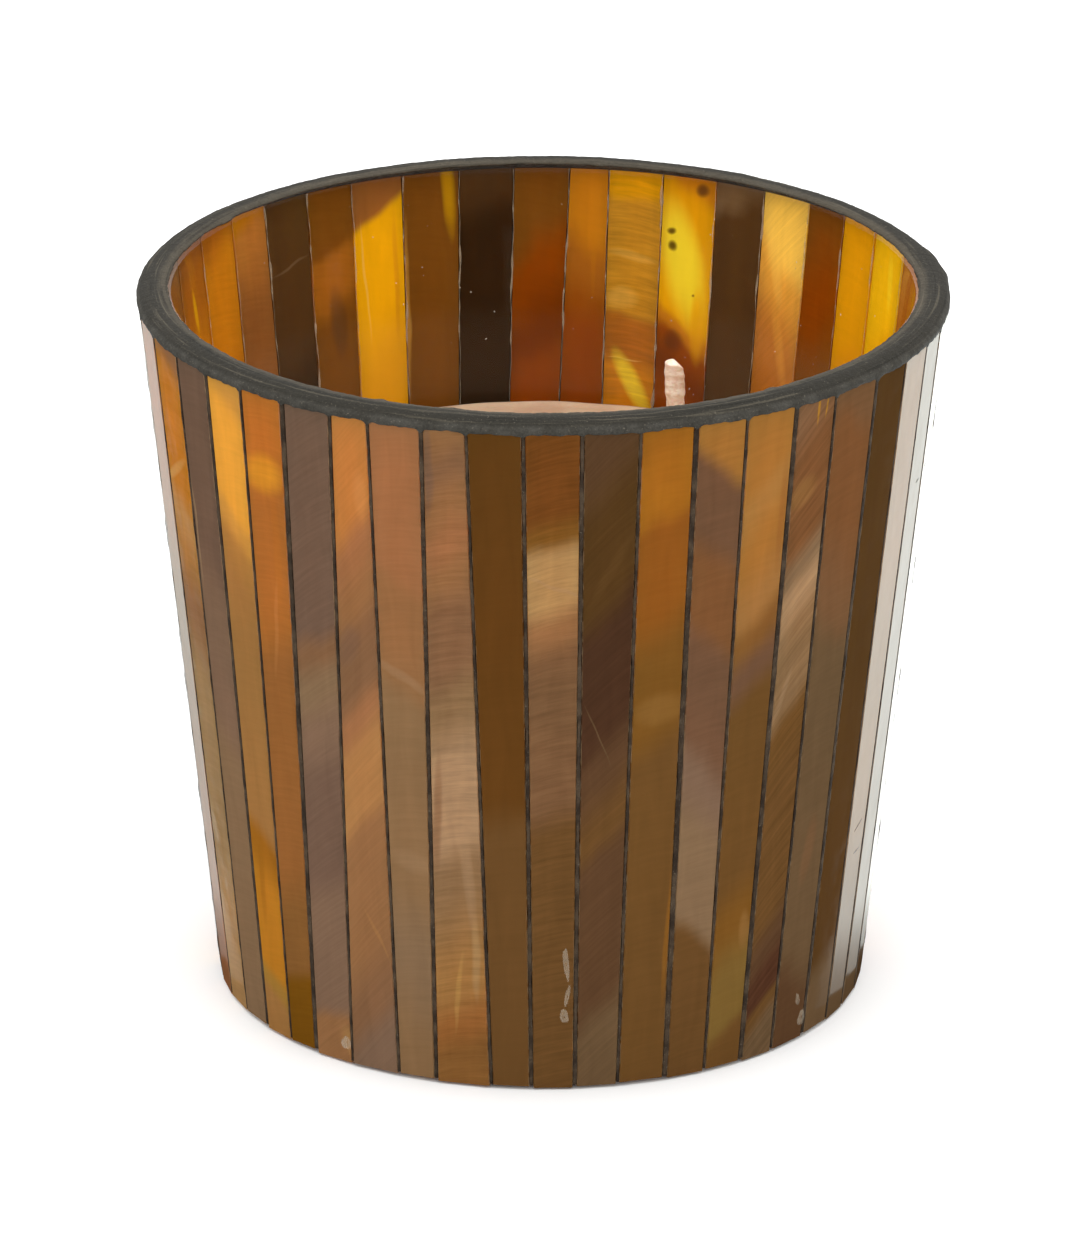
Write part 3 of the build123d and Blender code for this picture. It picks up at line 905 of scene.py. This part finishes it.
def tumbler():
    """Tumbler: its outline from the push-up out to the heel, up the wall, over the lip and down the bore."""
    tilt = math.degrees(math.atan(FLARE))
    outside = back_radius(0) - GLUE_LINE
    lip_out = back_radius(LIP_HEIGHT) - GLUE_LINE - LIP_ROUNDING
    lip_in = bore_radius(LIP_HEIGHT) + LIP_ROUNDING
    corner = bore_radius(BORE_FLOOR) - CORNER_INSET
    profile = [(0.001, PUSH_UP_HEIGHT), (PUSH_UP_RADIUS - 1, PUSH_UP_HEIGHT)]
    profile += [(PUSH_UP_RADIUS + 1, PUSH_UP_HEIGHT - 0.2), (FOOT_RING_RADIUS - 0.6, 0.1), (FOOT_RING_RADIUS, 0.0)]
    profile += arc((outside - HEEL_ROUNDING * 0.9, HEEL_ROUNDING), HEEL_ROUNDING, -90, -tilt, 7)
    profile += [(back_radius(z) - GLUE_LINE, z) for z in np.linspace(4, LIP_HEIGHT - 2, 12)]
    profile += arc((lip_out, LIP_HEIGHT - LIP_ROUNDING), LIP_ROUNDING, -tilt, 90, 7)
    profile += arc((lip_in, LIP_HEIGHT - LIP_ROUNDING), LIP_ROUNDING, 90, 180 - tilt, 7)
    profile += [(bore_radius(z), z) for z in np.linspace(LIP_HEIGHT - 2, BORE_FLOOR + BORE_CORNER + 1, 12)]
    profile += arc((corner, BORE_FLOOR + BORE_CORNER), BORE_CORNER, -tilt, -90, 9)
    profile += [(0.001, BORE_FLOOR)]
    return closed_grids([lathed(profile, 360)])


def poured_wax(wicks):
    """Wax: a dish-shaped top with creep up the wall and round the wicks, then the bore's own outline below.

    The top's height is the wax level, plus a wander of low swells, plus a bell curve at each wick,
    plus a steep power of the radius at the wall.
    """
    steps = 360
    turn = np.linspace(0, 2 * math.pi, steps, endpoint=False)
    edge = bore_radius(WAX_LEVEL + WAX_CREEP_HEIGHT) - 0.03
    radius = np.concatenate([[0.001], np.linspace(1, edge - 3, 60), edge - 3 + 3 * np.linspace(0, 1, 14)[1:] ** 0.7])
    x, y = radius[:, None] * np.cos(turn), radius[:, None] * np.sin(turn)
    z = WAX_LEVEL + 0.06 * np.sin(x * 0.13 + 0.7) * np.sin(y * 0.11 + 1.9) + 0.03 * np.sin(x * 0.3 - y * 0.22)
    creep = np.clip((radius - edge + WAX_CREEP_WIDTH) / WAX_CREEP_WIDTH, 0, 1)[:, None]
    uneven = 1 + 0.35 * wandering(turn, 31, (5, 13, 27), (0.4, 0.3, 0.3))[None, :]
    z = z + WAX_CREEP_HEIGHT * creep ** 2.2 * uneven * 0.7
    for wick in wicks:
        away = np.hypot(x - wick[0], y - wick[1])
        z = z + 0.9 * np.exp(-(np.clip(away - WICK_RADIUS, 0, None) / 0.9)) * (away < 12)
    top = np.stack([x, y, z], axis=-1)
    corner = bore_radius(BORE_FLOOR) - CORNER_INSET
    sides = np.linspace(WAX_LEVEL - 0.6, BORE_FLOOR + BORE_CORNER + 1, 10)
    below = [(bore_radius(height) - 0.03, height) for height in sides]
    below += arc((corner, BORE_FLOOR + BORE_CORNER), BORE_CORNER - 0.03, -6, -90, 8) + [(0.001, BORE_FLOOR + 0.03)]
    return closed_grids([np.concatenate([top, lathed(below, steps)])])


def wick(place, top, bottom, seed, lean):
    """Waxed wick: a round of wandering radius up a gently bent line, rounded over and cut on a slant on top.

    The radius widens up the exposed part, with a wander along it and a wave round it. The last rows
    follow a quarter circle over the top, and the top third is pulled down on one side by the slant.
    lean is how far the tip stands aside, as (x, y); the slant runs down against it.
    """
    crown = 0.35
    arch = np.radians(np.linspace(0, 86, 9))[1:]
    straight = np.concatenate([np.linspace(bottom, WAX_LEVEL - 1, 12), np.linspace(WAX_LEVEL, top - crown, 70)])
    z = np.concatenate([straight, top - crown + crown * np.sin(arch)])
    ease = np.concatenate([np.ones(len(straight)), np.cos(arch)])
    turn = np.linspace(0, 2 * math.pi, 36, endpoint=False)
    exposed = np.clip((z - WAX_LEVEL) / (top - WAX_LEVEL), 0, 1)
    radius = WICK_RADIUS * (0.78 + 0.2 * exposed)[:, None] + 0.05 * np.sin(2 * turn + 1.2 * z[:, None] + seed)
    radius = radius + (wandering(z, seed, (0.9, 2.4, 4.6), (0.05, 0.04, 0.03)))[:, None]
    radius = np.minimum(radius, WICK_RADIUS * 1.06) * ease[:, None]
    x = place[0] + exposed[:, None] ** 2 * lean[0] + radius * np.cos(turn)
    y = place[1] + exposed[:, None] ** 2 * lean[1] + radius * np.sin(turn)
    length = math.hypot(*lean)
    aside = (radius * np.cos(turn) * lean[0] + radius * np.sin(turn) * lean[1]) / length
    slant = np.clip((exposed - 0.62) / 0.38, 0, 1)[:, None] ** 2
    z = z[:, None] - slant * np.clip(-0.15 - aside, 0, None) * 0.9
    return closed_grids([np.stack([x, y, z], axis=-1)])


def blobs(spots, seed):
    """Flat irregular drops on a wall: half an oval seen from above, its outline a wander round it.

    Each spot is its middle, the way across, the way up, the way out, then its half width, half
    height and thickness, in millimetres.
    """
    turn = np.linspace(0, 2 * math.pi, 14, endpoint=False)
    lift = np.radians(np.array([-8, 12, 35, 60, 82]))
    grids = []
    for count, (middle, across, up, out, wide, tall, thick) in enumerate(spots):
        outline = 1 + wandering(turn, seed + count, (1, 2, 3, 5), (0.12, 0.12, 0.08, 0.05))
        reach = np.cos(lift)[:, None] * outline[None, :]
        rise = np.repeat((np.sin(lift) * thick)[:, None], len(turn), axis=1)
        right, high = reach * np.cos(turn) * wide, reach * np.sin(turn) * tall
        grids.append(middle + right[..., None] * across + high[..., None] * up + rise[..., None] * out)
    return closed_grids(grids)


def wall_spot(radius, z, turn, wide, tall, thick, facing, tilt=0.0):
    """A spot for blobs() on a wall round the axis; facing is 1 for an outside wall and -1 for an inside one."""
    angle = math.radians(turn - 90)
    round_by = np.array([-math.sin(angle), math.cos(angle), 0])
    slope = math.atan(FLARE)
    radial = np.array([math.cos(angle), math.sin(angle), 0])
    up = radial * math.sin(slope) + np.array([0, 0, math.cos(slope)])
    out = facing * (radial * math.cos(slope) - np.array([0, 0, math.sin(slope)]))
    turned = math.radians(tilt)
    across = round_by * math.cos(turned) + up * math.sin(turned)
    up = up * math.cos(turned) - round_by * math.sin(turned)
    return radial * radius + np.array([0, 0, z]), across, up, out, wide, tall, thick


FLECK_COUNT = 110


def wall_flecks():
    """Tiny flecks of dust and dried glue on the tumbler's inner wall above the wax."""
    rng = np.random.default_rng(51)
    turns = rng.uniform(0, 360, FLECK_COUNT)
    heights = rng.uniform(WAX_LEVEL + 1.8, HEIGHT - 2.8, FLECK_COUNT)
    spots = []
    for turn, z, size in zip(turns, heights, rng.uniform(0.03, 0.08, FLECK_COUNT)):
        tall, tilt = size * rng.uniform(0.7, 2.0), rng.uniform(0, 180)
        spots.append(wall_spot(bore_radius(z), z, turn, size, tall, 0.03, -1, tilt))
    return blobs(spots, 500)


# Smears of set glue on the faces: angle from the front, height, half width, half height, tilt.
FACE_SMEARS = [(4.2, 17.5, 0.35, 2.6, 6), (4.5, 13.0, 0.3, 1.6, -8), (4.0, 10.2, 0.5, 1.1, 12)]
FACE_SMEARS += [(52.5, 3.2, 0.8, 1.1, 0), (50.8, 6.0, 0.4, 0.8, 20), (-36.0, 3.0, 0.8, 0.9, 15)]


def face_smears():
    """Thin smears of clear glue left on the faces of some strips."""
    spots = []
    for turn, z, wide, tall, tilt in FACE_SMEARS:
        spots.append(wall_spot(face_radius(z) + 0.02, z, turn, wide, tall, 0.1, 1, tilt))
    return blobs(spots, 700)


# Hairline cracks in the faces: angle from the front, height, half length and tilt.
FACE_CRACKS = [(65.5, 26.0, 1.4, 25), (66.2, 22.4, 1.0, 12), (76.5, 70.0, 2.6, 6), (-72.0, 56.5, 1.9, 8)]


def face_cracks():
    """Dark hairlines across the faces of some strips."""
    spots = []
    for turn, z, half, tilt in FACE_CRACKS:
        spots.append(wall_spot(face_radius(z) - 0.02, z, turn, half, 0.1, 0.05, 1, tilt))
    return blobs(spots, 800)


def add(name, shape, material, slot, *nodes):
    """Adds a finished piece to the candle in place of its solid-model nodes."""
    made = piece(name, *shape, material)
    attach(made, "root")
    if nodes:
        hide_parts(*nodes)
    return made


def use(node, material):
    """Gives a solid-model node its material."""
    node.data.materials.clear()
    node.data.materials.append(material)


def build(frame):
    """Every visible piece of the candle."""
    nodes = frame["nodes"]
    strips = []
    for number in range(1, STRIP_COUNT + 1):
        node = nodes[f"glass_strip_{number:02d}"]
        strips.append(strip_edges(node))
        use(node, stained_glass(number, -strips[-1][0]))
    metal = tab_metal()
    wicks = []
    cotton = waxed_cotton()
    leans = {"back_right": (-0.35, -0.1), "left": (0.3, 0.3), "front": (0.2, -0.4)}
    for count, (name, lean) in enumerate(leans.items()):
        low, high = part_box(f"wick_{name}")
        centre = (low + high) / 2 / MM
        wicks.append((centre[0], centre[1]))
        shape = wick(wicks[-1], high[2] / MM - 0.02, low[2] / MM + 0.05, 61 + count, lean)
        add(f"waxed_wick_{name}", shape, cotton, "waxed_wick", f"wick_{name}")
        use(nodes[f"wick_tab_{name}"], metal)
    use(nodes["wick_stickers"], sticker_foam())
    add("clear_tumbler", tumbler(), clear_glass(), "jar_glass", "glass_jar")
    add("grout_lines", grout_lines(strips), grout("joint_grout", "45392c", "2a2119"), "grout", "joint_grout")
    add("grout_band", rim_band(strips), grout("rim_grout", "403e39", "33312c"), "grout", "rim_grout")
    # The hairline cracks are drawn as thin dark lines.
    add("face_cracks", face_cracks(), grout("dirt_in_cracks", "5b4f48", "3d3630"), "grout")
    add("glue_beads", glue_beads(strips), glue("set_glue", 0.3, "a07a4c"), "clear_adhesive", "adhesive_beads")
    add("face_glue_smears", face_smears(), glue("smeared_glue", 0.2, "a8906c"), "clear_adhesive")
    add("wall_flecks", wall_flecks(), glue("dried_glue_flecks", 0.6, "e8dcc4"), "clear_adhesive")
    add("poured_wax", poured_wax(wicks), candle_wax(), "wax", "candle_wax")


TABLE_HALF_WIDTH = 3000.0


def studio_floor():
    """A large matt white table."""
    n = Finish("white_table")
    cloud = n.noise(n.place(), 0.01, 2.0)
    colour = n.mix(cloud, (0.86, 0.86, 0.855, 1), (0.88, 0.88, 0.875, 1))
    material = n.done(n.plain(Base_Color=colour, Roughness=0.9, Specular_IOR_Level=0.0))
    half = TABLE_HALF_WIDTH
    outline = np.array([[-half, -half, 0], [half, -half, 0], [half, half, 0], [-half, half, 0]])
    floor = piece("table", outline, np.array([[0, 1, 2, 3]]), material)
    floor.visible_glossy = False


# Reach of the cards from the foot, and the distances from the axis where they fade in and are brightest.
CARD_NEAR, CARD_FAR = 0.5, 300.0
CARD_FADE_START, CARD_FADE_END, CARD_FULL = 42.0, 56.0, 150.0
CARD_RISE = 0.5
CARD_STEPS = 24


def mirror_card(name, start, end, strength):
    """A card of light that lies on the table and shows only in reflections.

    It is a fan: from the foot of the candle at each angle from the front between start and end, a
    straight line runs out on the table at twice that angle, the way a face there mirrors the front.
    """
    n = Finish(name)
    far = n.add("ShaderNodeVectorMath", {0: n.place()}, operation="LENGTH").outputs["Value"]
    near_fade = n.graded(far, CARD_FADE_START, CARD_FADE_END, 0.3 * strength, strength)
    power = n.maths("MULTIPLY", near_fade, n.graded(far, CARD_FADE_END, CARD_FULL, 1.0, 1.18))
    material = n.done(n.add("ShaderNodeEmission", {"Color": (0.94, 1.0, 0.97, 1), "Strength": power}).outputs[0])
    turn = np.radians(np.linspace(start, end, CARD_STEPS))[:, None]
    reach = np.array([CARD_NEAR, CARD_FAR])
    radius = FOOT_FACE_RADIUS + FLARE * 20
    x = radius * np.sin(turn) + reach * np.sin(2 * turn)
    y = -radius * np.cos(turn) - reach * np.cos(2 * turn)
    points = np.stack([x, y, np.full_like(x, CARD_RISE)], axis=-1).reshape(-1, 3)
    card = piece(name, points, grid_faces(CARD_STEPS, 2, False, False), material)
    for ray in ("camera", "diffuse", "transmission", "shadow", "volume_scatter"):
        setattr(card, f"visible_{ray}", False)


def studio_world(strength):
    """White light from above the horizon and none from below it."""
    world = bpy.context.scene.world = bpy.data.worlds.new("studio")
    n = Finish(world)
    height = n.parts(n.add("ShaderNodeTexCoord").outputs["Generated"])[2]
    power = n.maths("MULTIPLY", n.maths("GREATER_THAN", height, 0.0), strength)
    light = n.add("ShaderNodeBackground", {"Strength": power}).outputs[0]
    n.add("ShaderNodeOutputWorld", {"Surface": light})


def soft_light(name, place, target, size, power):
    """A square soft light at place, pointed at target, both in metres."""
    light = bpy.data.lights.new(name, "AREA")
    light.shape = "SQUARE"
    light.size = size
    light.energy = power
    lamp = bpy.data.objects.new(name, light)
    lamp.location = place
    lamp.rotation_euler = (Vector(target) - Vector(place)).to_track_quat("-Z", "Y").to_euler()
    lamp.visible_camera = False
    lamp.visible_glossy = False
    bpy.context.scene.collection.objects.link(lamp)


CAMERA_HEIGHT_ANGLE = 21.24
CAMERA_DISTANCE = 1.26214
CAMERA_TARGET = (0.0, 0.0, 0.04854)
CAMERA_LENS = 293.8
CAMERA_ROLL = 0.004
CAMERA_SHIFT = (-0.00166, -0.01565)


def camera():
    """A long lens in front of the candle, looking down on it by the height angle."""
    data = bpy.data.cameras.new("camera")
    data.sensor_width = 36
    data.lens = CAMERA_LENS
    data.shift_x, data.shift_y = CAMERA_SHIFT
    data.clip_end = 50
    made = bpy.data.objects.new("camera", data)
    down = math.radians(CAMERA_HEIGHT_ANGLE)
    back = Vector((0, -math.cos(down), math.sin(down)))
    made.location = Vector(CAMERA_TARGET) + back * CAMERA_DISTANCE
    turn = (-back).to_track_quat("-Z", "Y").to_matrix()
    made.rotation_euler = (turn @ Matrix.Rotation(CAMERA_ROLL, 3, "Z")).to_euler()
    bpy.context.scene.collection.objects.link(made)
    bpy.context.scene.camera = made


def studio():
    """Table, lights and camera."""
    studio_floor()
    studio_world(2.0)
    soft_light("overhead_softbox", (0, -0.1, 1.2), (0, 0, 0.05), 1.0, 6)
    mirror_card("right_mirror_card", 61.6, 93, 4.9)
    mirror_card("left_mirror_card", -71.75, -93, 2.0)
    camera()
    bpy.context.scene.view_settings.view_transform = "Standard"


def corners(box):
    """Both corners of a box as plain lists."""
    return [[float(value) for value in corner] for corner in box]


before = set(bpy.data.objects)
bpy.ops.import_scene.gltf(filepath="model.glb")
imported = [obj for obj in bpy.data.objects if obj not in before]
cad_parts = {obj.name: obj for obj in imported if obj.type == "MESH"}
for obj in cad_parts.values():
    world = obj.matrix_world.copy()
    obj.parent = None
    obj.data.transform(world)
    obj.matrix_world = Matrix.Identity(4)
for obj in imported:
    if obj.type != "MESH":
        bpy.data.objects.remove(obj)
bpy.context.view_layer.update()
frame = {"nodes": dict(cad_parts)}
build(frame)
studio()
